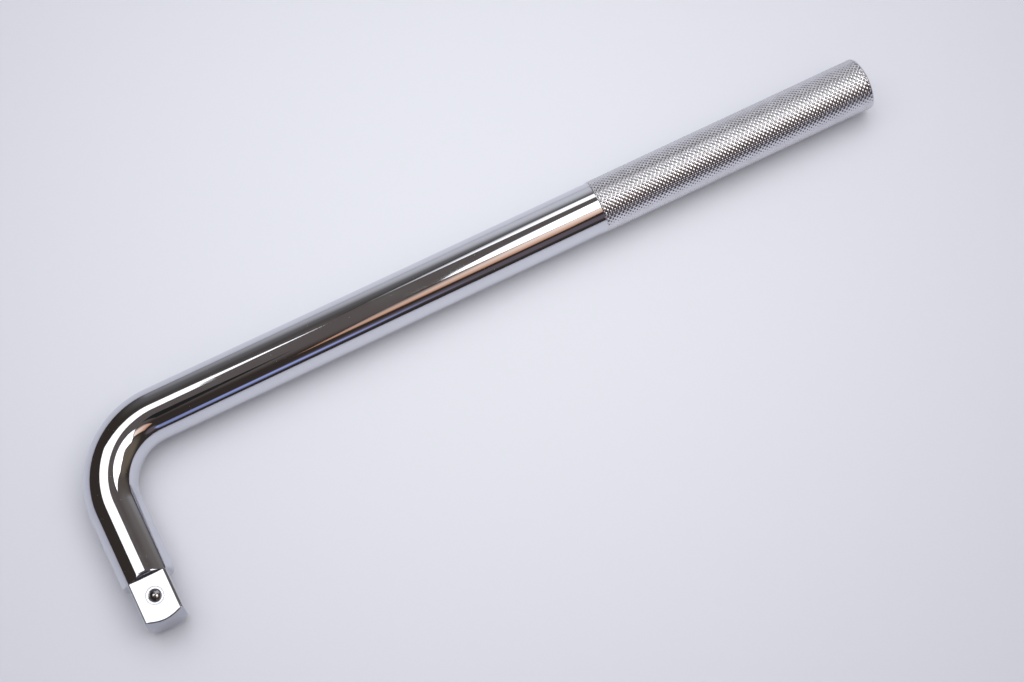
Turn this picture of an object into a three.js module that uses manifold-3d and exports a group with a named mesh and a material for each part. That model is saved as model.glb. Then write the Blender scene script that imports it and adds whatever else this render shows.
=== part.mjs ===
// L-shaped breaker bar with a fixed 3/4 in square drive: one chrome-plated bar with a plain
// shank, a 90 degree bend and a knurled grip, and a spring-loaded detent ball in the square.
//
// Millimetres, +Z up. The bar lies flat: the grip arm runs along +X, the drive arm along -Y.
// The origin is the centre of the footprint, at the height of the surface the bar lies on.

import * as THREE from 'three';
import { mergeVertices } from 'three/addons/utils/BufferGeometryUtils.js';
import Module from 'manifold-3d';

// Bar, measured along its centre line. The corner is where the two arms' axes cross.
const SHANK_RADIUS = 12.9;
const GRIP_RADIUS = 13.25;
const BEND_RADIUS = 34.6;
const CORNER_TO_SHOULDER = 72.1;
const CORNER_TO_GRIP = 268.3;
const CORNER_TO_END = 416.7;
const GRIP_LEAD_IN = 0.6;
const GRIP_END_ROUND = 1.6;

// Square drive: four flats milled on the round bar, and a turned chamfer on its end.
const ACROSS_FLATS = 19.05;
const DRIVE_LENGTH = 22.5;
const END_FACE_RADIUS = 8.6;
const END_CHAMFER = 2.48;
const SHOULDER_DRAFT = 0.3;
const SHOULDER_ROUND = 1.6;

// Detent: a ball on a coil spring, in a blind bore that opens on the upper flat.
const SHOULDER_TO_BALL = 9.9;
const BALL_RADIUS = 3.25;
const BALL_DEPTH = 1.73;
const BORE_RADIUS = 3.55;
const BORE_DEPTH = 13.4;
const DRILL_POINT = 0.9;
const LIP_RADIUS = 3.1;
const LIP_DEPTH = 1.2;
const SPRING_RADIUS = 2.45;
const WIRE_RADIUS = 0.4;
const SPRING_TURNS = 5;
const SPRING_CLEARANCE = 0.3;
const CLOSED_END_SHARE = 0.7;

// How finely round shapes are divided.
const BAR_SEGMENTS = 48;
const BEND_STEPS = 18;
const ROUND_STEPS = 4;
const BORE_SEGMENTS = 32;
const WIRE_SEGMENTS = 8;
const STEPS_PER_TURN = 14;
const BALL_RINGS = 16;

const QUARTER_TURN = Math.PI / 2;
const CUTTER_OVERRUN = 3;

// Places along the centre line, from the drive's end face.
const BEND_START = DRIVE_LENGTH + CORNER_TO_SHOULDER - BEND_RADIUS;
const BEND_END = BEND_START + BEND_RADIUS * QUARTER_TURN;
const GRIP_START = BEND_END + CORNER_TO_GRIP - BEND_RADIUS;
const BAR_END = BEND_END + CORNER_TO_END - BEND_RADIUS;

// The corner's place in the part's frame, which centres the footprint on the origin.
const ARM_REACH = CORNER_TO_SHOULDER + DRIVE_LENGTH;
const CORNER = new THREE.Vector3(
  (SHANK_RADIUS - CORNER_TO_END) / 2,
  (ARM_REACH - GRIP_RADIUS) / 2,
  GRIP_RADIUS,
);
const UPPER_FLAT = CORNER.z + ACROSS_FLATS / 2;
const BALL_Y = CORNER.y - CORNER_TO_SHOULDER - SHOULDER_TO_BALL;

const CHROME = new THREE.MeshStandardMaterial({ color: 0xc9ccd2, roughness: 0.08, metalness: 1 });
const BALL_STEEL = new THREE.MeshStandardMaterial({ color: 0x8f9094, roughness: 0.15, metalness: 1 });
const SPRING_STEEL = new THREE.MeshStandardMaterial({ color: 0x6f7074, roughness: 0.35, metalness: 1 });

const wasm = await Module();
wasm.setup();

function toSolid(geometry) {
  const bare = geometry.clone();
  bare.deleteAttribute('normal');
  bare.deleteAttribute('uv');
  const merged = mergeVertices(bare);
  return new wasm.Manifold(new wasm.Mesh({
    numProp: 3,
    vertProperties: new Float32Array(merged.attributes.position.array),
    triVerts: new Uint32Array(merged.index.array),
  }));
}

function toGeometry(solid) {
  const mesh = solid.getMesh();
  const geometry = new THREE.BufferGeometry();
  geometry.setAttribute('position', new THREE.BufferAttribute(mesh.vertProperties, 3));
  geometry.setIndex(new THREE.BufferAttribute(mesh.triVerts, 1));
  geometry.computeVertexNormals();
  return geometry;
}

function arcPoints(centreX, centreY, radius, from, to, steps) {
  const points = [];
  for (let i = 0; i <= steps; i += 1) {
    const angle = from + ((to - from) * i) / steps;
    const x = centreX + radius * Math.cos(angle);
    points.push(new THREE.Vector2(x, centreY + radius * Math.sin(angle)));
  }
  return points;
}

// Outline of the straight blank: radius against distance from the drive's end face.
function blankProfile() {
  const points = [
    new THREE.Vector2(0, 0),
    new THREE.Vector2(END_FACE_RADIUS, 0),
    new THREE.Vector2(SHANK_RADIUS, END_CHAMFER),
  ];
  for (let i = 0; i <= BEND_STEPS; i += 1) {
    const along = BEND_START + ((BEND_END - BEND_START) * i) / BEND_STEPS;
    points.push(new THREE.Vector2(SHANK_RADIUS, along));
  }
  points.push(new THREE.Vector2(SHANK_RADIUS, GRIP_START));
  points.push(new THREE.Vector2(GRIP_RADIUS, GRIP_START + GRIP_LEAD_IN));
  const roundX = GRIP_RADIUS - GRIP_END_ROUND;
  const roundY = BAR_END - GRIP_END_ROUND;
  points.push(...arcPoints(roundX, roundY, GRIP_END_ROUND, 0, QUARTER_TURN, ROUND_STEPS));
  points.push(new THREE.Vector2(0, BAR_END));
  return points;
}

// Where a point of the straight blank goes when the blank is bent: across is to the right of
// the centre line, along is the distance from the drive's end face.
function bentPoint(across, along, height) {
  const turn = THREE.MathUtils.clamp((along - BEND_START) / BEND_RADIUS, 0, QUARTER_TURN);
  const tangent = new THREE.Vector3(Math.sin(turn), Math.cos(turn), 0);
  const right = new THREE.Vector3(Math.cos(turn), -Math.sin(turn), 0);
  const centre = new THREE.Vector3(BEND_RADIUS, -BEND_RADIUS, 0).add(CORNER);
  const straight = along - THREE.MathUtils.clamp(along, BEND_START, BEND_END);
  return centre
    .addScaledVector(right, across - BEND_RADIUS)
    .addScaledVector(tangent, straight)
    .add(new THREE.Vector3(0, 0, height));
}

function bentBlank() {
  const geometry = new THREE.LatheGeometry(blankProfile(), BAR_SEGMENTS);
  const position = geometry.attributes.position;
  for (let i = 0; i < position.count; i += 1) {
    const point = bentPoint(position.getX(i), position.getY(i), position.getZ(i));
    position.setXYZ(i, point.x, point.y, point.z);
  }
  return toSolid(geometry);
}

// The metal that milling takes off one flat: it runs in from the end of the drive, and at the
// shoulder it climbs a steep face and rolls over a rounded edge.
function flatCutter(quarterTurns) {
  const reach = SHANK_RADIUS + CUTTER_OVERRUN;
  const flat = ACROSS_FLATS / 2;
  const roundHeight = SHANK_RADIUS - SHOULDER_ROUND;
  const shape = new THREE.Shape();
  shape.moveTo(-CUTTER_OVERRUN, flat);
  shape.lineTo(DRIVE_LENGTH, flat);
  const roundAlong = DRIVE_LENGTH + SHOULDER_DRAFT + SHOULDER_ROUND;
  const edge = arcPoints(roundAlong, roundHeight, SHOULDER_ROUND, Math.PI, QUARTER_TURN, ROUND_STEPS);
  edge.forEach((point) => shape.lineTo(point.x, point.y));
  shape.lineTo(roundAlong, reach);
  shape.lineTo(-CUTTER_OVERRUN, reach);
  const geometry = new THREE.ExtrudeGeometry(shape, { depth: 2 * reach, bevelEnabled: false });
  geometry.translate(0, 0, -reach);
  geometry.rotateX(QUARTER_TURN);
  geometry.rotateZ(QUARTER_TURN);
  geometry.rotateY(quarterTurns * QUARTER_TURN);
  geometry.translate(CORNER.x, CORNER.y - ARM_REACH, CORNER.z);
  return geometry;
}

function boreCutter() {
  const floor = UPPER_FLAT - BORE_DEPTH;
  const profile = [
    new THREE.Vector2(0, floor - DRILL_POINT),
    new THREE.Vector2(BORE_RADIUS, floor),
    new THREE.Vector2(BORE_RADIUS, UPPER_FLAT - LIP_DEPTH),
    new THREE.Vector2(LIP_RADIUS, UPPER_FLAT),
    new THREE.Vector2(LIP_RADIUS, UPPER_FLAT + CUTTER_OVERRUN),
    new THREE.Vector2(0, UPPER_FLAT + CUTTER_OVERRUN),
  ];
  const geometry = new THREE.LatheGeometry(profile, BORE_SEGMENTS);
  geometry.rotateX(QUARTER_TURN);
  geometry.translate(CORNER.x, BALL_Y, 0);
  return toSolid(geometry);
}

function bar() {
  let solid = bentBlank();
  for (let i = 0; i < 4; i += 1) {
    solid = solid.subtract(toSolid(flatCutter(i)));
  }
  return new THREE.Mesh(toGeometry(solid.subtract(boreCutter())), CHROME);
}

function detentBall() {
  const geometry = new THREE.SphereGeometry(BALL_RADIUS, BORE_SEGMENTS, BALL_RINGS);
  geometry.rotateX(QUARTER_TURN);
  const mesh = new THREE.Mesh(geometry, BALL_STEEL);
  mesh.position.set(CORNER.x, BALL_Y, UPPER_FLAT - BALL_DEPTH);
  return mesh;
}

// The wire's centre line: a helix whose first and last turns lie close to flat, as on a spring
// with closed ends.
class SpringCurve extends THREE.Curve {
  constructor(radius, height, turns) {
    super();
    this.radius = radius;
    this.height = height;
    this.turns = turns;
  }

  getPoint(t, target = new THREE.Vector3()) {
    const angle = t * this.turns * 2 * Math.PI;
    const closed = t - (Math.sin(2 * Math.PI * t) / (2 * Math.PI)) * CLOSED_END_SHARE;
    const x = this.radius * Math.cos(angle);
    return target.set(x, this.radius * Math.sin(angle), this.height * closed);
  }
}

function detentSpring() {
  const bottom = UPPER_FLAT - BORE_DEPTH + SPRING_CLEARANCE + WIRE_RADIUS;
  const top = UPPER_FLAT - BALL_DEPTH - BALL_RADIUS - SPRING_CLEARANCE - WIRE_RADIUS;
  const wire = new THREE.Shape();
  wire.absarc(0, 0, WIRE_RADIUS, 0, 2 * Math.PI);
  const geometry = new THREE.ExtrudeGeometry(wire, {
    curveSegments: WIRE_SEGMENTS / 2,
    steps: SPRING_TURNS * STEPS_PER_TURN,
    extrudePath: new SpringCurve(SPRING_RADIUS, top - bottom, SPRING_TURNS),
  });
  const mesh = new THREE.Mesh(geometry, SPRING_STEEL);
  mesh.position.set(CORNER.x, BALL_Y, bottom);
  return mesh;
}

const breakerBar = new THREE.Group();
const pieces = { bar: bar(), detent_ball: detentBall(), detent_spring: detentSpring() };
for (const [name, mesh] of Object.entries(pieces)) {
  mesh.name = name;
  breakerBar.add(mesh);
}

export default breakerBar;
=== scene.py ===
import math

import bmesh
import bpy
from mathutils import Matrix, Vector


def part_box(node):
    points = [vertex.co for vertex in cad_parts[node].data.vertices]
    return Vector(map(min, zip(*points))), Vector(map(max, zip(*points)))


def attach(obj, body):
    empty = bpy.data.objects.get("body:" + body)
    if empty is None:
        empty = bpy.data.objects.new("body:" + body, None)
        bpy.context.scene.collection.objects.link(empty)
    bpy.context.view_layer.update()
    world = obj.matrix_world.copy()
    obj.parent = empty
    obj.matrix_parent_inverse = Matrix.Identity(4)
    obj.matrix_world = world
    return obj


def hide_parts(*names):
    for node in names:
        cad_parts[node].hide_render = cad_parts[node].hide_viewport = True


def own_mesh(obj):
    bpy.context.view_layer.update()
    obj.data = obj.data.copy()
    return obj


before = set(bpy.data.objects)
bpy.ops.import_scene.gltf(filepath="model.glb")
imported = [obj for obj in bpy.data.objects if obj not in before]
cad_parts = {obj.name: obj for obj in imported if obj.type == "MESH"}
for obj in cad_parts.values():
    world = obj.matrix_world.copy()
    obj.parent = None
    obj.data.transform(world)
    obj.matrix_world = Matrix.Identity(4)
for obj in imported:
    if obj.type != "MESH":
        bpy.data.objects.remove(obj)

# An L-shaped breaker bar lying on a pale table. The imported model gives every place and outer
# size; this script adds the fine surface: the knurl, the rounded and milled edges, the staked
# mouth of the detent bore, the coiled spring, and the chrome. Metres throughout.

MM = 0.001
QUARTER = math.pi / 2
FULL = 2 * math.pi

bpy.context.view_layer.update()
bar_low, bar_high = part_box("bar")
ball_low, ball_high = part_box("detent_ball")
spring_low, spring_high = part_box("detent_spring")

# ---------------------------------------------------------------- driving dimensions

SHANK_RADIUS = 12.9 * MM
GRIP_RADIUS = (bar_high.z - bar_low.z) / 2
BEND_RADIUS = 34.6 * MM
GRIP_LENGTH = 148.4 * MM
LEAD_IN = 0.6 * MM
END_ROUND = 1.6 * MM

HALF_FLATS = 19.05 * MM / 2
DRIVE_LENGTH = 22.5 * MM
END_FACE_RADIUS = 8.6 * MM
CHAMFER_LENGTH = 2.48 * MM
SHOULDER_DRAFT = 0.3 * MM
SHOULDER_ROUND = 1.6 * MM
EDGE_SOFTNESS = 0.42 * MM

KNURL_GROOVES = 35
KNURL_DEPTH = 0.33 * MM
KNURL_FADE = 0.7 * MM
KNURL_RIM = 0.9 * MM

BALL_RADIUS = (ball_high.x - ball_low.x) / 2
BORE_RADIUS = 3.55 * MM
BORE_DEPTH = 13.4 * MM
DRILL_POINT = 0.9 * MM
STAKE_RADIUS = 4.2 * MM
WIRE_RADIUS = 0.4 * MM
SPRING_TURNS = 5
CLOSED_END_SHARE = 0.7

# Places: the two arms' axes, the bend between them and the detent's axis.
AXIS_Z = (bar_low.z + bar_high.z) / 2
ARM_X = bar_low.x + SHANK_RADIUS
GRIP_Y = bar_high.y - GRIP_RADIUS
BEND_CENTRE = Vector((ARM_X + BEND_RADIUS, GRIP_Y - BEND_RADIUS, AXIS_Z))
BEND_START = BEND_CENTRE.y - bar_low.y
BEND_END = BEND_START + BEND_RADIUS * QUARTER
BAR_END = BEND_END + bar_high.x - BEND_CENTRE.x
GRIP_START = BAR_END - GRIP_LENGTH
BALL = (ball_low + ball_high) / 2
BALL_ALONG = BALL.y - bar_low.y
UPPER_FLAT = AXIS_Z + HALF_FLATS


# ---------------------------------------------------------------- mesh helpers

def bent_point(along, angle, radius):
    """A point of the bar: along its centre line, turned by angle from the top, and out."""
    turn = min(max((along - BEND_START) / BEND_RADIUS, 0.0), QUARTER)
    straight = along - min(max(along, BEND_START), BEND_END)
    outward = Vector((-math.cos(turn), math.sin(turn), 0))
    forward = Vector((math.sin(turn), math.cos(turn), 0))
    place = BEND_CENTRE + outward * (BEND_RADIUS + radius * math.sin(angle)) + forward * straight
    place.z += radius * math.cos(angle)
    return place


def soft_min(a, b, softness=EDGE_SOFTNESS):
    """The smaller of two lengths, rounded over where they cross."""
    overlap = max(softness - abs(a - b), 0.0) / softness
    return min(a, b) - overlap * overlap * softness / 4


def smooth_step(share):
    share = min(max(share, 0.0), 1.0)
    return share * share * (3 - 2 * share)


def spread(start, end, steps):
    """Values from start to end in equal steps, the end left out."""
    return [start + (end - start) * i / steps for i in range(steps)]


def stretches(start, *parts):
    """Places from start on, through stretches given as their end and their number of steps."""
    places = []
    for end, steps in parts:
        places += spread(start, end, steps)
        start = end
    return places


def nearest_index(values, target):
    return min(range(len(values)), key=lambda i: abs(values[i] - target))


def join_rings(mesh, first, second, closed=True):
    """Quads between two rings of the same number of vertices."""
    count = len(first)
    faces = []
    for i in range(count if closed else count - 1):
        j = (i + 1) % count
        faces.append(mesh.faces.new((first[i], second[i], second[j], first[j])))
    return faces


def stitch_rings(mesh, first, first_angles, second, second_angles):
    """Triangles between two rings of different counts, both sorted by angle."""
    i = j = 0
    faces = []
    while i < len(first) or j < len(second):
        next_first = first_angles[(i + 1) % len(first)] + FULL * ((i + 1) // len(first))
        next_second = second_angles[(j + 1) % len(second)] + FULL * ((j + 1) // len(second))
        a, b = first[i % len(first)], second[j % len(second)]
        if j >= len(second) or (i < len(first) and next_first <= next_second):
            faces.append(mesh.faces.new((a, b, first[(i + 1) % len(first)])))
            i += 1
        else:
            faces.append(mesh.faces.new((a, b, second[(j + 1) % len(second)])))
            j += 1
    return faces


def close_ring(mesh, ring, centre):
    """A fan from a ring to its centre."""
    middle = mesh.verts.new(centre)
    return [mesh.faces.new((a, b, middle)) for a, b in zip(ring, ring[1:] + ring[:1])]


def finish_piece(mesh, name, body, replaced, materials):
    """Turns a bmesh into an object that stands for a CAD node and rides on its body."""
    bmesh.ops.recalc_face_normals(mesh, faces=mesh.faces)
    if mesh.calc_volume(signed=True) < 0:
        bmesh.ops.reverse_faces(mesh, faces=mesh.faces)
    for face in mesh.faces:
        face.smooth = True
    data = bpy.data.meshes.new(name)
    mesh.to_mesh(data)
    mesh.free()
    for material in materials:
        data.materials.append(material)
    piece = bpy.data.objects.new(name, data)
    bpy.context.scene.collection.objects.link(piece)
    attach(piece, body)
    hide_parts(replaced)
    return piece


# ---------------------------------------------------------------- the bar

# Each flat has even cells about its middle, and the upper one's patch of them makes room for
# the detent's bore. Past them come lines at FLAT_LINES from the middle, and close ones over the
# square's rounded corner.
PATCH_HALF = 6.0 * MM
PATCH_CELL = 0.6 * MM
PATCH_CELLS = round(PATCH_HALF / PATCH_CELL)
FLAT_LINES = [6.7 * MM, 7.4 * MM, 8.0 * MM, 8.4 * MM]
CORNER_FROM = math.radians(41.9)
CORNER_TO = math.radians(48.1)
CORNER_STEPS = 12
ROUND_SIDES = 144

# Stations along the drive lie close together up to CHAMFER_MARGIN past the chamfer, and from
# FOOT_MARGIN before the shoulder to EDGE_MARGIN past its rounded edge. Its steep face ends
# within STEEP_MARGIN.
CHAMFER_MARGIN = 1.4 * MM
FOOT_MARGIN = 0.3 * MM
STEEP_MARGIN = 0.8 * MM
EDGE_MARGIN = 0.5 * MM

# Material slots of the bar.
CHROME, KNURL, DRIVE, BORE, TURNED = range(5)


def section_angles():
    """Angles round the bar: even steps on each flat, close ones at the square's corners."""
    across = [i * PATCH_CELL for i in range(-PATCH_CELLS, PATCH_CELLS + 1)]
    across = [-x for x in reversed(FLAT_LINES)] + across + FLAT_LINES
    flat = [math.atan2(x, HALF_FLATS) for x in across]
    corner = spread(CORNER_FROM, CORNER_TO, CORNER_STEPS) + [CORNER_TO]
    return [side * QUARTER + angle for side in range(4) for angle in flat + corner]


def off_flat(angle):
    """Angle from the middle of the nearest flat."""
    return (angle + QUARTER / 2) % QUARTER - QUARTER / 2


def flat_height(along):
    """Height of the milled surface over the bar's axis, up the shoulder and round its edge."""
    round_along = DRIVE_LENGTH + SHOULDER_DRAFT + SHOULDER_ROUND
    round_height = SHANK_RADIUS - SHOULDER_ROUND
    if along <= DRIVE_LENGTH:
        return HALF_FLATS
    if along <= DRIVE_LENGTH + SHOULDER_DRAFT:
        share = (along - DRIVE_LENGTH) / SHOULDER_DRAFT
        return HALF_FLATS + (round_height - HALF_FLATS) * share
    if along < round_along:
        run = (round_along - along) / SHOULDER_ROUND
        return round_height + SHOULDER_ROUND * math.sqrt(1 - run * run)
    return SHANK_RADIUS + 2 * EDGE_SOFTNESS


def drive_radius(along, angle):
    """Distance of the drive's surface from the axis: square, round stock and end cone."""
    square = flat_height(along) / math.cos(off_flat(angle))
    return soft_min(soft_min(SHANK_RADIUS, square), end_cone_radius(along))


def end_cone_radius(along):
    """Radius of the chamfer that is turned on the drive's end, extended past it."""
    return END_FACE_RADIUS + along * (SHANK_RADIUS - END_FACE_RADIUS) / CHAMFER_LENGTH


def on_end_cone(along, angle):
    """Whether the turned end cone, and not a flat or the round stock, is the surface here."""
    return end_cone_radius(along) < min(SHANK_RADIUS, HALF_FLATS / math.cos(off_flat(angle)))


def drive_stations():
    """Places along the drive and its shoulder, close together where the surface turns."""
    shoulder_end = DRIVE_LENGTH + SHOULDER_DRAFT + SHOULDER_ROUND
    return stretches(
        0.0,
        (CHAMFER_LENGTH + CHAMFER_MARGIN, 26),
        (BALL_ALONG - PATCH_HALF, 5),
        (BALL_ALONG + PATCH_HALF, 2 * PATCH_CELLS),
        (DRIVE_LENGTH - FOOT_MARGIN, 6),
        (DRIVE_LENGTH, 3),
        (DRIVE_LENGTH + SHOULDER_DRAFT, 10),
        (DRIVE_LENGTH + STEEP_MARGIN, 8),
        (shoulder_end + EDGE_MARGIN, 12),
    )


# The mouth of the detent's bore, as radius and depth under the flat in millimetres: a shallow
# punched ring, and inside it the lip that keeps the ball in.
MOUTH_RADIUS = 4.6 * MM
MOUTH_RINGS = 3
MOUTH_EASE = 0.35
PUNCHED_RING = [
    (4.56, 0.002), (4.48, 0.006), (4.40, 0.012), (4.31, 0.016), (4.22, 0.018), (4.13, 0.016),
    (4.02, 0.011), (3.90, 0.006), (3.70, 0.004), (3.30, 0.004),
]
LIP = [
    (3.12, 0.02), (3.02, 0.08), (2.95, 0.25), (2.97, 0.34), (3.05, 0.55), (3.30, 0.95), (3.50, 1.2),
]

# The plate ends a little way in. Under the lip is the drilled bore, and the edge of its floor
# is slightly bevelled.
PLATED_DEPTH = 0.3 * MM
LIP_DEPTH = 1.35 * MM
FLOOR_RISE = 0.05 * MM
FLOOR_DROP = 0.06 * MM
FLOOR_RUN = 0.3 * MM


def bore_profile():
    """Radius and depth under the flat, from the punched ring down to the drill's point."""
    profile = [(radius * MM, depth * MM) for radius, depth in PUNCHED_RING + LIP]
    profile += [(BORE_RADIUS, LIP_DEPTH), (BORE_RADIUS, BORE_DEPTH - FLOOR_RISE)]
    profile += [(BORE_RADIUS - FLOOR_RUN, BORE_DEPTH + FLOOR_DROP)]
    profile += [(BORE_RADIUS / 2, BORE_DEPTH + DRILL_POINT / 2)]
    return profile


def bore_mouth(mesh, border):
    """The staked mouth, the wall and the drilled floor of the detent bore, inside the patch."""
    centre = Vector((BALL.x, BALL.y, UPPER_FLAT))
    flat = [(v.co - centre).to_2d() for v in border]
    ring = border
    plated = []
    for step in range(1, MOUTH_RINGS + 1):
        share = step / MOUTH_RINGS
        eased = smooth_step(share) * MOUTH_EASE + share * (1 - MOUTH_EASE)
        spots = [place.lerp(place.normalized() * MOUTH_RADIUS, eased) for place in flat]
        following = [mesh.verts.new(centre + spot.to_3d()) for spot in spots]
        plated += join_rings(mesh, following, ring)
        ring = following
    bare = []
    for radius, depth in bore_profile():
        spots = [place.normalized() * radius for place in flat]
        following = [mesh.verts.new(centre + s.to_3d() - Vector((0, 0, depth))) for s in spots]
        made = join_rings(mesh, following, ring)
        if depth > PLATED_DEPTH:
            bare += made
        else:
            plated += made
        ring = following
    bare += close_ring(mesh, ring, centre - Vector((0, 0, BORE_DEPTH + DRILL_POINT)))
    for face in plated:
        face.material_index = DRIVE
    for face in bare:
        face.material_index = BORE


# Steps inwards over the drive's flat end, and the least radius of its rings.
END_FACE_STEPS = (0.15 * MM, 1.2 * MM, 4.0 * MM)
END_FACE_CENTRE = 1.0 * MM


def drive_face(mesh, ring, angles):
    """The flat end of the drive, from its outer ring to the middle."""
    centre = bent_point(0.0, 0.0, 0.0)
    faces = []
    for inward in END_FACE_STEPS:
        following = []
        for vertex, angle in zip(ring, angles):
            radius = max((vertex.co - centre).length - inward, END_FACE_CENTRE)
            following.append(mesh.verts.new(bent_point(0.0, angle, radius)))
        faces += join_rings(mesh, following, ring)
        ring = following
    faces += close_ring(mesh, ring, centre)
    for face in faces:
        face.material_index = TURNED


def drive_end(mesh, angles):
    """The square drive with its end face, as far as the plain shank. Returns its last ring."""
    stations = drive_stations()
    rings = []
    for along in stations:
        radii = [drive_radius(along, a) for a in angles]
        rings.append([mesh.verts.new(bent_point(along, a, r)) for a, r in zip(angles, radii)])
    patch_first = nearest_index(stations, BALL_ALONG - PATCH_HALF)
    patch_last = patch_first + 2 * PATCH_CELLS
    top_first = nearest_index(angles, -math.atan2(PATCH_HALF, HALF_FLATS))
    top_last = top_first + 2 * PATCH_CELLS
    for i, (ring, following) in enumerate(zip(rings, rings[1:])):
        for j in range(len(angles)):
            if patch_first <= i < patch_last and top_first <= j < top_last:
                continue
            k = (j + 1) % len(angles)
            face = mesh.faces.new((ring[j], following[j], following[k], ring[k]))
            face.material_index = DRIVE if stations[i] < DRIVE_LENGTH else CHROME
            if on_end_cone(stations[i], angles[j]):
                face.material_index = TURNED
    border = [rings[patch_first][j] for j in range(top_first, top_last)]
    border += [rings[i][top_last] for i in range(patch_first, patch_last)]
    border += [rings[patch_last][j] for j in range(top_last, top_first, -1)]
    border += [rings[i][top_first] for i in range(patch_last, patch_first, -1)]
    bore_mouth(mesh, border)
    inside_patch = [v for ring in rings for v in ring if not v.link_faces]
    drive_face(mesh, rings[0], angles)
    bmesh.ops.delete(mesh, geom=inside_patch, context="VERTS")
    return rings[-1]


# The gap to the shank's first ring, and the short steps at both of its ends.
STITCH_GAP = 0.4 * MM
SHANK_MARGIN = 2 * MM


def shank(mesh, ring, angles):
    """The plain shank, round the bend to the grip. Returns its last ring."""
    first = drive_stations()[-1] + STITCH_GAP
    stations = stretches(
        first,
        (first + SHANK_MARGIN, 4),
        (BEND_START, 12),
        (BEND_END, 96),
        (GRIP_START - SHANK_MARGIN, 40),
        (GRIP_START, 5),
    )
    stations.append(GRIP_START)
    even = even_angles()
    for i, along in enumerate(stations):
        following = [mesh.verts.new(bent_point(along, a, SHANK_RADIUS)) for a in even]
        if i == 0:
            stitch_rings(mesh, *from_zero(ring, angles), following, even)
        else:
            join_rings(mesh, ring, following)
        ring = following
    return ring


def even_angles():
    return spread(0.0, FULL, ROUND_SIDES)


def from_zero(ring, angles):
    """A ring and its angles, both sorted by angle from 0 to a full turn."""
    turned = sorted(zip([a % FULL for a in angles], range(len(ring))))
    return [ring[i] for _, i in turned], [a for a, _ in turned]


def grip_outline(along):
    """Radius over the knurl's crests, with the lead-in and the rounded end."""
    lead = smooth_step((along - GRIP_START) / LEAD_IN)
    radius = SHANK_RADIUS + (GRIP_RADIUS - SHANK_RADIUS) * lead
    run = (along - (BAR_END - END_ROUND)) / END_ROUND
    if run > 0:
        radius -= END_ROUND * (1 - math.sqrt(max(1 - run * run, 0.0)))
    return radius


KNURL_END = BAR_END - KNURL_RIM
KNURL_PERIOD = FULL * (GRIP_RADIUS - KNURL_DEPTH / 2) / KNURL_GROOVES

# Each diamond has frames at these shares of its width in from its edge. A few rows more than
# the grip is long are cut off square, and more cuts follow the run-out of the grooves.
KNURL_INSETS = (0.08, 0.17, 0.26, 0.35, 0.43)
KNURL_SPARE_ROWS = 2
FADE_CUTS = 5
CUT_MARGIN = 1e-7
CUT_TOLERANCE = 5e-7

# The grip's flat end: rings over its rounded edge, then inwards.
RIM_RINGS = 9
GRIP_FACE_STEP = 0.4 * MM
GRIP_FACE_RINGS = [8.0 * MM, 3.0 * MM]


def knurl_height(u, v):
    """Share of the groove depth at groove coordinates u and v: 0 in a groove, 1 on a tip."""
    nearest = min(abs(u - round(u)), abs(v - round(v)))
    return math.sin(math.pi * nearest) ** 2


def knurl_radius(along, angle):
    """Distance of the knurl's surface from the axis, with its run-out at both ends."""
    fade = smooth_step((along - GRIP_START) / KNURL_FADE)
    fade *= smooth_step((KNURL_END - along) / KNURL_FADE)
    turns = KNURL_GROOVES * angle / FULL
    run = (along - GRIP_START) / KNURL_PERIOD
    groove = (1 - knurl_height(turns + run, turns - run)) * KNURL_DEPTH * fade
    return grip_outline(along) - groove


def knurl_cells(mesh):
    """One blunt pyramid in each diamond between the two families of grooves. It is laid out on
    the crests' cylinder, and knurled_grip presses the grooves in."""
    corners = {}

    def corner(u, v):
        key = ((u + v) % (2 * KNURL_GROOVES), u - v)
        if key not in corners:
            corners[key] = mesh.verts.new(spot(u, v))
        return corners[key]

    def spot(u, v):
        angle = math.pi * (u + v) / KNURL_GROOVES
        along = GRIP_START + KNURL_PERIOD * (u - v) / 2
        return bent_point(along, angle, GRIP_RADIUS)

    rows = math.ceil((KNURL_END - GRIP_START) / KNURL_PERIOD * 2) + KNURL_SPARE_ROWS
    for row in range(-1, rows):
        for place in range(KNURL_GROOVES):
            u = place + row
            v = place
            ring = [corner(u, v), corner(u + 1, v), corner(u + 1, v + 1), corner(u, v + 1)]
            for inset in KNURL_INSETS:
                low, high = inset, 1 - inset
                spots = [(low, low), (high, low), (high, high), (low, high)]
                following = [mesh.verts.new(spot(u + a, v + b)) for a, b in spots]
                join_rings(mesh, ring, following)
                ring = following
            mesh.faces.new(ring)


def cut_across(mesh, along, keep_after=None):
    """Cuts the knurl's mesh square to the grip's axis. With keep_after it keeps only what comes
    after the cut, if true, or before it, if false."""
    plane = bent_point(along, 0.0, 0.0)
    geometry = mesh.verts[:] + mesh.edges[:] + mesh.faces[:]
    bmesh.ops.bisect_plane(
        mesh, geom=geometry, dist=CUT_MARGIN, plane_co=plane, plane_no=(1, 0, 0),
        clear_outer=keep_after is False, clear_inner=keep_after is True,
    )


def grip_angle(place):
    """Angle of a place round the grip's axis, from the top."""
    return math.atan2(place.y - GRIP_Y, place.z - AXIS_Z) % FULL


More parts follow.
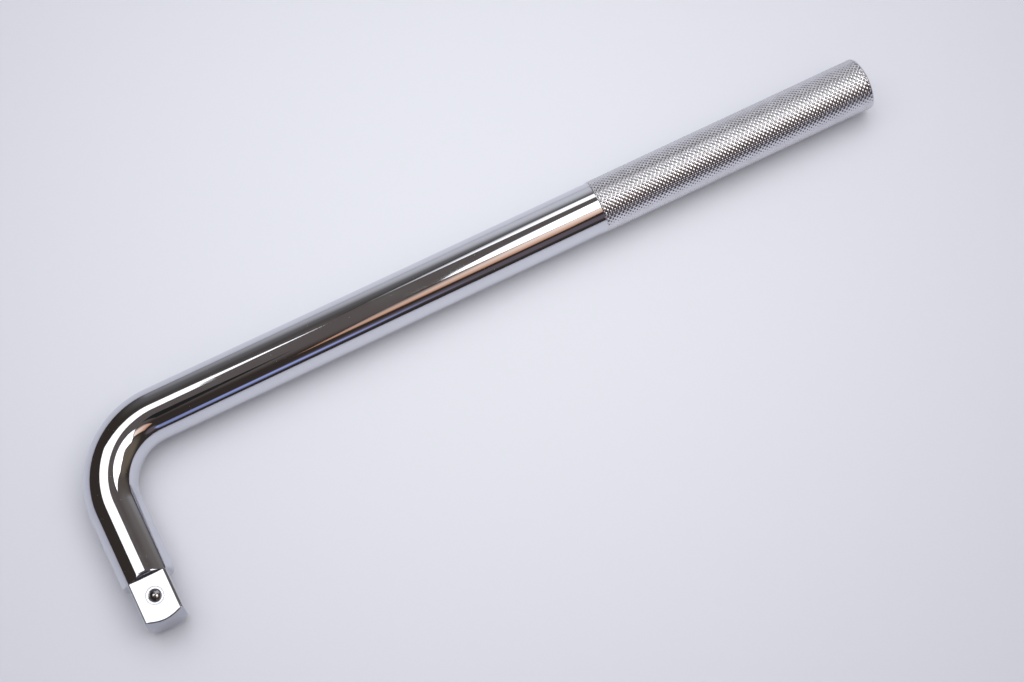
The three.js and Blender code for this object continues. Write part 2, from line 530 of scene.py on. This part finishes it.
def knurled_grip():
    """The knurl as a mesh of its own, open at both ends."""
    mesh = bmesh.new()
    knurl_cells(mesh)
    cut_across(mesh, GRIP_START, keep_after=True)
    cut_across(mesh, KNURL_END, keep_after=False)
    for cut in range(1, FADE_CUTS + 1):
        cut_across(mesh, GRIP_START + KNURL_FADE * cut / FADE_CUTS)
        cut_across(mesh, KNURL_END - KNURL_FADE * cut / FADE_CUTS)
    start_x = bent_point(GRIP_START, 0.0, 0.0).x
    for vertex in mesh.verts:
        along = GRIP_START + vertex.co.x - start_x
        angle = grip_angle(vertex.co)
        place = bent_point(along, angle, knurl_radius(along, angle))
        vertex.co = (vertex.co.x, place.y, place.z)
    return mesh


def grip(mesh, ring):
    """The knurled grip and its rounded end, joined to the shank's last ring."""
    knurl = knurled_grip()
    data = bpy.data.meshes.new("knurl_cells")
    knurl.to_mesh(data)
    knurl.free()
    before = len(mesh.faces)
    mesh.from_mesh(data)
    bpy.data.meshes.remove(data)
    mesh.faces.ensure_lookup_table()
    for face in mesh.faces[before:]:
        face.material_index = KNURL
    start, start_angles = cut_ring(mesh, before, GRIP_START)
    end, end_angles = cut_ring(mesh, before, KNURL_END)
    even = even_angles()
    stitch_rings(mesh, ring, even, start, start_angles)
    for a, b in zip(ring, ring[1:] + ring[:1]):
        mesh.edges.get((a, b)).smooth = False
    turns = [QUARTER * i / RIM_RINGS for i in range(1, RIM_RINGS + 1)]
    rim = [KNURL_END + KNURL_RIM * math.sin(turn) for turn in turns]
    profile = [(along, grip_outline(along)) for along in rim]
    face_radii = [grip_outline(BAR_END) - GRIP_FACE_STEP] + GRIP_FACE_RINGS
    profile += [(BAR_END, radius) for radius in face_radii]
    following = end
    for along, radius in profile:
        made = [mesh.verts.new(bent_point(along, a, radius)) for a in even]
        if following is end:
            stitch_rings(mesh, end, end_angles, made, even)
        else:
            join_rings(mesh, following, made)
        following = made
    close_ring(mesh, following, bent_point(BAR_END, 0.0, 0.0))


def cut_ring(mesh, first_face, along):
    """The knurl's cut end at a place along the bar, sorted by angle."""
    x = bent_point(along, 0.0, 0.0).x
    mesh.faces.ensure_lookup_table()
    found = {v for f in mesh.faces[first_face:] for v in f.verts if abs(v.co.x - x) < CUT_TOLERANCE}
    ordered = sorted(found, key=lambda v: grip_angle(v.co))
    return ordered, [grip_angle(v.co) for v in ordered]


def make_bar(materials):
    """The whole bar as one closed mesh, from the drive to the grip's end."""
    mesh = bmesh.new()
    angles = section_angles()
    ring = drive_end(mesh, angles)
    ring = shank(mesh, ring, angles)
    grip(mesh, ring)
    return finish_piece(mesh, "chromed_bar", "handle", "bar", materials)


# ---------------------------------------------------------------- the detent

BALL_CELLS = 20
SAME_PLACE = 0.001 * MM
STEPS_PER_TURN = 36
WIRE_SIDES = 12


def make_ball(material):
    """A ball from a cube's six grids, so that no poles show."""
    mesh = bmesh.new()
    steps = [math.tan((i / BALL_CELLS - 0.5) * QUARTER) for i in range(BALL_CELLS + 1)]
    sides = [(axis, sign) for axis in range(3) for sign in (-1, 1)]
    for axis, sign in sides:
        rows = []
        for across in steps:
            row = []
            for up in steps:
                spot = [across, up]
                spot.insert(axis, sign)
                row.append(mesh.verts.new(BALL + Vector(spot).normalized() * BALL_RADIUS))
            rows.append(row)
        for row, following in zip(rows, rows[1:]):
            join_rings(mesh, row, following, closed=False)
    bmesh.ops.remove_doubles(mesh, verts=mesh.verts, dist=SAME_PLACE)
    return finish_piece(mesh, "steel_ball", "detent", "detent_ball", [material])


def make_spring(material):
    """A coil spring with closed ends between the bore's floor and the ball."""
    mesh = bmesh.new()
    bottom = spring_low.z + WIRE_RADIUS
    height = spring_high.z - spring_low.z - 2 * WIRE_RADIUS
    coil_radius = (spring_high.x - spring_low.x) / 2 - WIRE_RADIUS
    steps = SPRING_TURNS * STEPS_PER_TURN

    def wire_point(step):
        share = step / steps
        turn = share * SPRING_TURNS * FULL
        rise = share - math.sin(FULL * share) / FULL * CLOSED_END_SHARE
        across = Vector((math.cos(turn), math.sin(turn), 0)) * coil_radius
        return Vector((BALL.x, BALL.y, bottom + height * rise)) + across

    rings = []
    for step in range(steps + 1):
        here = wire_point(step)
        forward = (wire_point(step + 0.5) - wire_point(step - 0.5)).normalized()
        out = Vector((here.x - BALL.x, here.y - BALL.y, 0)).normalized()
        side = forward.cross(out).normalized()
        out = side.cross(forward)
        turns = [FULL * i / WIRE_SIDES for i in range(WIRE_SIDES)]
        around = [(out * math.cos(t) + side * math.sin(t)) * WIRE_RADIUS for t in turns]
        rings.append([mesh.verts.new(here + a) for a in around])
    for ring, following in zip(rings, rings[1:]):
        join_rings(mesh, ring, following)
    close_ring(mesh, rings[0], wire_point(0))
    close_ring(mesh, rings[-1], wire_point(steps))
    piece = finish_piece(
        mesh, "coil_spring", "handle", "detent_spring", [material],
    )
    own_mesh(piece)
    return piece


# ---------------------------------------------------------------- materials

class Nodes:
    """A short way to write a material's node tree."""

    def __init__(self, name, metallic=0.0):
        self.material = bpy.data.materials.new(name)
        self.material.use_nodes = True
        self.tree = self.material.node_tree
        self.shader = self.tree.nodes["Principled BSDF"]
        self.shader.inputs["Metallic"].default_value = metallic
        self.place = self.tree.nodes.new("ShaderNodeTexCoord").outputs["Object"]

    def link(self, source, target):
        self.tree.links.new(source, target)

    def noise(self, scale, detail=3.0, stretch=(1, 1, 1)):
        """Noise with features about 1 / scale metres apart."""
        mapping = self.tree.nodes.new("ShaderNodeMapping")
        mapping.inputs["Scale"].default_value = stretch
        self.link(self.place, mapping.inputs["Vector"])
        noise = self.tree.nodes.new("ShaderNodeTexNoise")
        noise.inputs["Scale"].default_value = scale
        noise.inputs["Detail"].default_value = detail
        self.link(mapping.outputs["Vector"], noise.inputs["Vector"])
        return noise.outputs["Fac"]

    def specks(self, scale, size):
        """1 inside sparse small spots, 0 elsewhere."""
        cells = self.tree.nodes.new("ShaderNodeTexVoronoi")
        cells.inputs["Scale"].default_value = scale
        self.link(self.place, cells.inputs["Vector"])
        return self.span(cells.outputs["Distance"], (size, size / 2), to=(0.0, 1.0))

    def span(self, value, ends, to, shape="LINEAR"):
        """Maps the range between two ends to another range, clamped."""
        span = self.tree.nodes.new("ShaderNodeMapRange")
        span.interpolation_type = shape
        span.inputs["From Min"].default_value = ends[0]
        span.inputs["From Max"].default_value = ends[1]
        span.inputs["To Min"].default_value = to[0]
        span.inputs["To Max"].default_value = to[1]
        self.link(value, span.inputs["Value"])
        return span.outputs["Result"]

    def math(self, operation, a, b):
        node = self.tree.nodes.new("ShaderNodeMath")
        node.operation = operation
        for socket, value in zip(node.inputs, (a, b)):
            if isinstance(value, (int, float)):
                socket.default_value = value
            else:
                self.link(value, socket)
        return node.outputs["Value"]

    def colour(self, share, first, second):
        """Gives the surface a colour between two, by a 0..1 share."""
        mix = self.tree.nodes.new("ShaderNodeMix")
        mix.data_type = "RGBA"
        mix.inputs["A"].default_value = (*first, 1)
        mix.inputs["B"].default_value = (*second, 1)
        self.link(share, mix.inputs["Factor"])
        self.link(mix.outputs["Result"], self.shader.inputs["Base Color"])

    def roughness(self, value):
        self.link(value, self.shader.inputs["Roughness"])

    def bump(self, height, depth):
        """A bump whose full height is depth metres."""
        bump = self.tree.nodes.new("ShaderNodeBump")
        bump.inputs["Distance"].default_value = depth
        self.link(height, bump.inputs["Height"])
        self.link(bump.outputs["Normal"], self.shader.inputs["Normal"])

    def from_axis(self, **middle):
        """Distance from an axis, which is given by its place in two of X, Y and Z."""
        split = self.tree.nodes.new("ShaderNodeSeparateXYZ")
        self.link(self.place, split.inputs["Vector"])
        squares = []
        for side, place in middle.items():
            away = self.math("SUBTRACT", split.outputs[side], place)
            squares.append(self.math("POWER", away, 2))
        return self.math("SQRT", self.math("ADD", *squares), 0.0)


PLATE = (0.665, 0.675, 0.735)
PLATE_WARM = (0.64, 0.645, 0.69)
KNURL_PLATE = (0.74, 0.745, 0.80)
KNURL_GRIME = (0.50, 0.48, 0.48)
# The turned end's two colours are darker than the plate: painted shade for the shadowed table that
# the end mirrors.
TURNED_PLATE_PAINTED_SHADE = (0.52, 0.53, 0.58)
TURNED_DARKER_PAINTED_SHADE = (0.42, 0.43, 0.48)
BORE_OILED = (0.13, 0.12, 0.11)
BORE_STEEL = (0.24, 0.22, 0.20)
BALL_STEEL = (0.54, 0.53, 0.54)
BALL_WORN = (0.40, 0.39, 0.39)
WIRE_STEEL = (0.33, 0.31, 0.29)
WIRE_OXIDE = (0.20, 0.18, 0.17)

PIT_ROUGHNESS = 0.35
PIT_DEPTH = 0.002 * MM
WAVE_IN_PITS = 8.0
GRIME_ROUGHNESS = 0.10
RING_CORE = 0.15 * MM
RING_REACH = 0.55 * MM
RING_ROUGHNESS = 0.22


def polished_chrome():
    """Mirror plate: a faint waviness, fine hairlines along the bar, and a few handling marks."""
    nodes = Nodes("chrome_mirror", metallic=1.0)
    nodes.colour(nodes.noise(scale=55, detail=2), PLATE, PLATE_WARM)
    hairline = nodes.noise(scale=900, detail=2, stretch=(0.02, 1, 1))
    smudge = nodes.span(nodes.noise(scale=90, detail=4), (0.5, 0.75), to=(0.0, 0.045))
    dull = nodes.math("ADD", nodes.span(hairline, (0.35, 0.75), to=(0.028, 0.05)), smudge)
    pits = nodes.specks(scale=420, size=0.055)
    nodes.roughness(nodes.math("ADD", dull, nodes.math("MULTIPLY", pits, PIT_ROUGHNESS)))
    wave = nodes.math("MULTIPLY", nodes.noise(scale=45, detail=1), WAVE_IN_PITS)
    nodes.bump(nodes.math("SUBTRACT", wave, pits), depth=PIT_DEPTH)
    return nodes.material


def knurl_chrome():
    """Plate over the knurl: brightest on the tips, duller and a little dirty in the grooves."""
    nodes = Nodes("chrome_knurl", metallic=1.0)
    from_axis = nodes.from_axis(Y=GRIP_Y, Z=AXIS_Z)
    tip = nodes.span(from_axis, (GRIP_RADIUS - KNURL_DEPTH, GRIP_RADIUS), to=(0.0, 1.0))
    groove = nodes.math("SUBTRACT", 1.0, tip)
    grime = nodes.math("MULTIPLY", nodes.noise(scale=260, detail=4), groove)
    nodes.colour(grime, KNURL_PLATE, KNURL_GRIME)
    worn = nodes.span(tip, (0.0, 1.0), to=(0.16, 0.07))
    nodes.roughness(nodes.math("ADD", worn, nodes.math("MULTIPLY", grime, GRIME_ROUGHNESS)))
    nodes.bump(nodes.noise(scale=2600, detail=3), depth=0.002 * MM)
    return nodes.material


def drive_chrome():
    """Plate over the milled square: faint cutter lines across the flats, rubbed marks, and the
    dull punched ring round the ball."""
    nodes = Nodes("chrome_drive", metallic=1.0)
    nodes.colour(nodes.noise(scale=140, detail=3), PLATE, PLATE_WARM)
    cutter = nodes.noise(scale=1500, detail=2, stretch=(0.03, 1, 0.03))
    from_bore = nodes.from_axis(X=BALL.x, Y=BALL.y)
    off_ring = nodes.math("ABSOLUTE", nodes.math("SUBTRACT", from_bore, STAKE_RADIUS), 0.0)
    punched = nodes.span(off_ring, (RING_CORE, RING_REACH), to=(RING_ROUGHNESS, 0.0))
    scuff = nodes.span(nodes.noise(scale=420, detail=5), (0.60, 0.8), to=(0.0, 0.06))
    rough = nodes.math("ADD", nodes.span(cutter, (0.3, 0.7), to=(0.03, 0.06)), scuff)
    nodes.roughness(nodes.math("ADD", rough, punched))
    nodes.bump(cutter, depth=0.0004 * MM)
    return nodes.material


def turned_chrome_painted_shade():
    """Plate over the turned end: duller, and a little darker as painted shade standing in for the
    shadowed table that the end mirrors, with faint turning lines.
    """
    nodes = Nodes("chrome_turned_end_painted_shade", metallic=1.0)
    # Painted shade: both colours are darker than the plate elsewhere.
    nodes.colour(nodes.noise(scale=300, detail=3), TURNED_PLATE_PAINTED_SHADE, TURNED_DARKER_PAINTED_SHADE)
    lines = nodes.noise(scale=2400, detail=2, stretch=(0.03, 1, 0.03))
    nodes.roughness(nodes.span(lines, (0.3, 0.7), to=(0.10, 0.17)))
    nodes.bump(lines, depth=0.001 * MM)
    return nodes.material


def bored_steel():
    """Bare drilled steel inside the bore, dark with oil."""
    nodes = Nodes("steel_bore", metallic=1.0)
    nodes.colour(nodes.noise(scale=500, detail=3), BORE_OILED, BORE_STEEL)
    drill = nodes.noise(scale=1400, detail=2, stretch=(0.1, 0.1, 1))
    nodes.roughness(nodes.span(drill, (0.3, 0.7), to=(0.30, 0.45)))
    nodes.bump(drill, depth=0.01 * MM)
    return nodes.material


def ball_steel():
    """Hardened steel, darker than the plate, with uneven wear."""
    nodes = Nodes("steel_ball", metallic=1.0)
    wear = nodes.noise(scale=700, detail=4)
    nodes.colour(wear, BALL_STEEL, BALL_WORN)
    nodes.roughness(nodes.span(wear, (0.35, 0.7), to=(0.10, 0.19)))
    nodes.bump(nodes.noise(scale=1200, detail=2), depth=0.002 * MM)
    return nodes.material


def wire_steel():
    """Drawn spring wire with a thin oxide."""
    nodes = Nodes("steel_wire", metallic=1.0)
    oxide = nodes.noise(scale=1200, detail=3)
    nodes.colour(oxide, WIRE_STEEL, WIRE_OXIDE)
    nodes.roughness(nodes.span(oxide, (0.3, 0.7), to=(0.28, 0.42)))
    nodes.bump(nodes.noise(scale=5000, detail=2), depth=0.01 * MM)
    return nodes.material


# ---------------------------------------------------------------- studio

VIEW_TURN = math.radians(26.6)
VIEW_ELEVATION = math.radians(71.8)
VIEW_DISTANCE = 1.0625
VIEW_AIM = Vector((0.0013, 0.0016, 0.0003))
LENS = 77.3

CLIP_END = 100

# The direction on the table that leads away from the camera.
VIEW_AWAY = Vector((math.sin(VIEW_TURN), math.cos(VIEW_TURN), 0))


def make_camera():
    data = bpy.data.cameras.new("photo_camera")
    data.lens = LENS
    data.clip_end = CLIP_END
    camera = bpy.data.objects.new("photo_camera", data)
    bpy.context.scene.collection.objects.link(camera)
    level = math.cos(VIEW_ELEVATION) * VIEW_DISTANCE
    rise = math.sin(VIEW_ELEVATION) * VIEW_DISTANCE
    camera.location = VIEW_AIM - VIEW_AWAY * level + Vector((0, 0, rise))
    camera.rotation_euler = (VIEW_AIM - camera.location).to_track_quat("-Z", "Y").to_euler()
    bpy.context.scene.camera = camera


# The table is painted palest in its middle, a painted pool of light, and fades to its darker outer
# colour over its reach.
TABLE_HALF_SIZE = 30
TABLE_PAINTED_POOL_COLOUR = (0.79, 0.80, 0.845)
TABLE_PAINTED_FALLOFF_COLOUR = (0.55, 0.55, 0.61)
PAINTED_POOL_MIDDLE = Vector((0.0, 0.05, 0))
PAINTED_POOL_REACH = 0.50
TABLE_ROUGHNESS = 0.75
TABLE_SHINE = 0.2


def make_table():
    """A pale table top with a painted pool of light: a little darker away from its middle."""
    mesh = bmesh.new()
    bmesh.ops.create_grid(mesh, x_segments=1, y_segments=1, size=TABLE_HALF_SIZE)
    data = bpy.data.meshes.new("table")
    mesh.to_mesh(data)
    mesh.free()
    table = bpy.data.objects.new("table", data)
    bpy.context.scene.collection.objects.link(table)
    nodes = Nodes("table_top_painted_light_pool")
    nodes.shader.inputs["Roughness"].default_value = TABLE_ROUGHNESS
    nodes.shader.inputs["Specular IOR Level"].default_value = TABLE_SHINE
    # Painted pool of light: the table's colour darkens with distance from its middle.
    away = nodes.tree.nodes.new("ShaderNodeVectorMath")
    away.operation = "DISTANCE"
    away.inputs[1].default_value = PAINTED_POOL_MIDDLE
    nodes.link(nodes.place, away.inputs[0])
    share = nodes.span(away.outputs["Value"], (0, PAINTED_POOL_REACH), to=(0, 1), shape="SMOOTHSTEP")
    nodes.colour(share, TABLE_PAINTED_POOL_COLOUR, TABLE_PAINTED_FALLOFF_COLOUR)
    data.materials.append(nodes.material)


def rectangle(right, away):
    return [(right[0], away[0]), (right[1], away[0]), (right[1], away[1]), (right[0], away[1])]


# The panels over the table, which the camera doesn't see and the chrome mirrors. The corners
# are to the right and away, as the camera sees them, in units of the panel's height. The shade
# is dark and hangs where the camera is.
PANEL_HEIGHT = 1.4
SHADE_HEIGHT = 1.03
HARD_EDGE = 0.001
LEFT_PANEL = [
    (-0.88, -0.27), (-0.16, 0.10), (-0.22, 0.23), (-0.15, 0.33), (-0.34, 0.44), (-0.97, 0.50),
]
FAR_PANEL = rectangle((-0.24, 0.15), (0.54, 0.95))
RIGHT_PANEL = [
    (0.25, -0.24), (0.64, -0.37), (0.85, -0.37), (0.70, -0.10), (0.92, 0.06), (0.92, 0.33),
    (0.33, 0.46), (0.12, 0.14), (0.19, -0.10),
]
WARM_PANEL = [(0.46, -0.91), (0.82, -0.91), (0.63, -0.39), (0.24, -0.26)]
CAMERA_SHADE = rectangle((-0.22, 0.10), (-0.60, -0.29))

LEFT_GLOW = (1.9, 1.9, 1.9)
FAR_GLOW = (1.65, 1.65, 1.65)
RIGHT_GLOW = (2.6, 2.6, 2.6)
WARM_NEAR_GLOW = (0.58, 0.25, 0.12)
WARM_FAR_GLOW = (1.44, 1.18, 1.00)
SHADE_GLOW = (0.02, 0.02, 0.02)


def soft_box(name, corners, near, far, left_fade=HARD_EDGE, height=PANEL_HEIGHT):
    """A glowing panel over the table. Its glow goes from near, at its near edge, to far, and
    sets in over the given share of its width from the left."""
    mesh = bmesh.new()
    mesh.faces.new([mesh.verts.new((right * height, away * height, 0)) for right, away in corners])
    data = bpy.data.meshes.new(name)
    mesh.to_mesh(data)
    mesh.free()
    panel = bpy.data.objects.new(name, data)
    bpy.context.scene.collection.objects.link(panel)
    panel.location.z = height
    panel.rotation_euler.z = -VIEW_TURN
    panel.visible_camera = False
    material = bpy.data.materials.new(name)
    material.use_nodes = True
    tree = material.node_tree
    tree.nodes.remove(tree.nodes["Principled BSDF"])
    place = tree.nodes.new("ShaderNodeTexCoord")
    split = tree.nodes.new("ShaderNodeSeparateXYZ")
    glow = tree.nodes.new("ShaderNodeMix")
    glow.data_type = "RGBA"
    glow.inputs["A"].default_value = (*near, 1)
    glow.inputs["B"].default_value = (*far, 1)
    edge = tree.nodes.new("ShaderNodeMapRange")
    edge.interpolation_type = "SMOOTHSTEP"
    edge.inputs["From Max"].default_value = left_fade
    light = tree.nodes.new("ShaderNodeEmission")
    tree.links.new(place.outputs["Generated"], split.inputs["Vector"])
    tree.links.new(split.outputs["Y"], glow.inputs["Factor"])
    tree.links.new(split.outputs["X"], edge.inputs["Value"])
    tree.links.new(glow.outputs["Result"], light.inputs["Color"])
    tree.links.new(edge.outputs["Result"], light.inputs["Strength"])
    tree.links.new(light.outputs["Emission"], tree.nodes["Material Output"].inputs["Surface"])
    data.materials.append(material)


def make_lights():
    soft_box("left_box", LEFT_PANEL, LEFT_GLOW, LEFT_GLOW)
    soft_box("far_box", FAR_PANEL, FAR_GLOW, FAR_GLOW, left_fade=0.38)
    soft_box("right_box", RIGHT_PANEL, RIGHT_GLOW, RIGHT_GLOW, left_fade=0.08)
    soft_box("warm_box", WARM_PANEL, WARM_NEAR_GLOW, WARM_FAR_GLOW, left_fade=0.40)
    soft_box("camera_shade", CAMERA_SHADE, SHADE_GLOW, SHADE_GLOW, height=SHADE_HEIGHT)


# The room as the chrome sees it: a glow where the direction is, in degrees of turn from +X and
# of tilt from straight up, full within the first angle and gone at the second, and its colour.
ROOM = [
    (0, 0, 20, 42, (0.090, 0.080, 0.075)),
    (22, 62, 16, 36, (0.080, 0.070, 0.060)),
    (-32, 60, 10, 28, (0.140, 0.115, 0.080)),
    (54, 85, 24, 42, (0.52, 0.53, 0.56)),
    (58, 74, 3, 50, (0.175, 0.18, 0.19)),
    (-91, 73, 3, 8, (0.24, 0.30, 0.58)),
    (-86, 70, 1, 5, (0.12, 0.15, 0.30)),
    (-78, 68, 4, 12, (0.10, 0.085, 0.11)),
]
ROOM_DARK = (0.045, 0.036, 0.030)

# The light on the table and on everything else that isn't a mirror: a low even light, and a
# wide window nearly overhead, placed by the same four angles.
EVEN_LIGHT = (0.39, 0.395, 0.415)
WINDOW_LIGHT = (2.75, 2.77, 2.91)
WINDOW = (64, 14, 6, 42)

BACKDROP = (0.52, 0.525, 0.56)


def glow_share(tree, turn, tilt, full, gone):
    """1 towards a direction, fading to 0, from the four angles in degrees."""
    turn, tilt = math.radians(turn), math.radians(tilt)
    level = math.sin(tilt)
    place = tree.nodes.new("ShaderNodeTexCoord")
    towards = tree.nodes.new("ShaderNodeVectorMath")
    towards.operation = "DOT_PRODUCT"
    towards.inputs[1].default_value = (
        level * math.cos(turn), level * math.sin(turn), math.cos(tilt),
    )
    share = tree.nodes.new("ShaderNodeMapRange")
    share.interpolation_type = "SMOOTHSTEP"
    share.inputs["From Min"].default_value = math.cos(math.radians(gone))
    share.inputs["From Max"].default_value = math.cos(math.radians(full))
    tree.links.new(place.outputs["Generated"], towards.inputs[0])
    tree.links.new(towards.outputs["Value"], share.inputs["Value"])
    return share.outputs["Result"]


def mirrored_room(tree):
    """What the chrome mirrors: patches of light on a dark ground."""
    total = tree.nodes.new("ShaderNodeRGB").outputs["Color"]
    total.default_value = (*ROOM_DARK, 1)
    for *angles, colour in ROOM:
        patch = tree.nodes.new("ShaderNodeMix")
        patch.data_type = "RGBA"
        patch.blend_type = "ADD"
        patch.inputs["B"].default_value = (*colour, 1)
        tree.links.new(glow_share(tree, *angles), patch.inputs["Factor"])
        tree.links.new(total, patch.inputs["A"])
        total = patch.outputs["Result"]
    room = tree.nodes["Background"]
    tree.links.new(total, room.inputs["Color"])
    return room


def diffuse_light(tree):
    """What lights the table and everything else that isn't a mirror."""
    overhead = tree.nodes.new("ShaderNodeMix")
    overhead.data_type = "RGBA"
    overhead.inputs["A"].default_value = (*EVEN_LIGHT, 1)
    overhead.inputs["B"].default_value = (*WINDOW_LIGHT, 1)
    tree.links.new(glow_share(tree, *WINDOW), overhead.inputs["Factor"])
    light = tree.nodes.new("ShaderNodeBackground")
    tree.links.new(overhead.outputs["Result"], light.inputs["Color"])
    return light


def make_world():
    """A pale backdrop to the camera, a dim room in reflections, and a window's light on the
    rest."""
    world = bpy.data.worlds.new("studio")
    bpy.context.scene.world = world
    world.use_nodes = True
    tree = world.node_tree
    backdrop = tree.nodes.new("ShaderNodeBackground")
    backdrop.inputs["Color"].default_value = (*BACKDROP, 1)
    path = tree.nodes.new("ShaderNodeLightPath")
    result = diffuse_light(tree).outputs["Background"]
    for ray, seen in (("Is Glossy Ray", mirrored_room(tree)), ("Is Camera Ray", backdrop)):
        mix = tree.nodes.new("ShaderNodeMixShader")
        tree.links.new(path.outputs[ray], mix.inputs["Fac"])
        tree.links.new(result, mix.inputs[1])
        tree.links.new(seen.outputs["Background"], mix.inputs[2])
        result = mix.outputs["Shader"]
    tree.links.new(result, tree.nodes["World Output"].inputs["Surface"])


make_camera()
make_table()
make_lights()
make_world()
make_bar([polished_chrome(), knurl_chrome(), drive_chrome(), bored_steel(), turned_chrome_painted_shade()])
make_ball(ball_steel())
make_spring(wire_steel())
bpy.context.scene.view_settings.view_transform = "Standard"
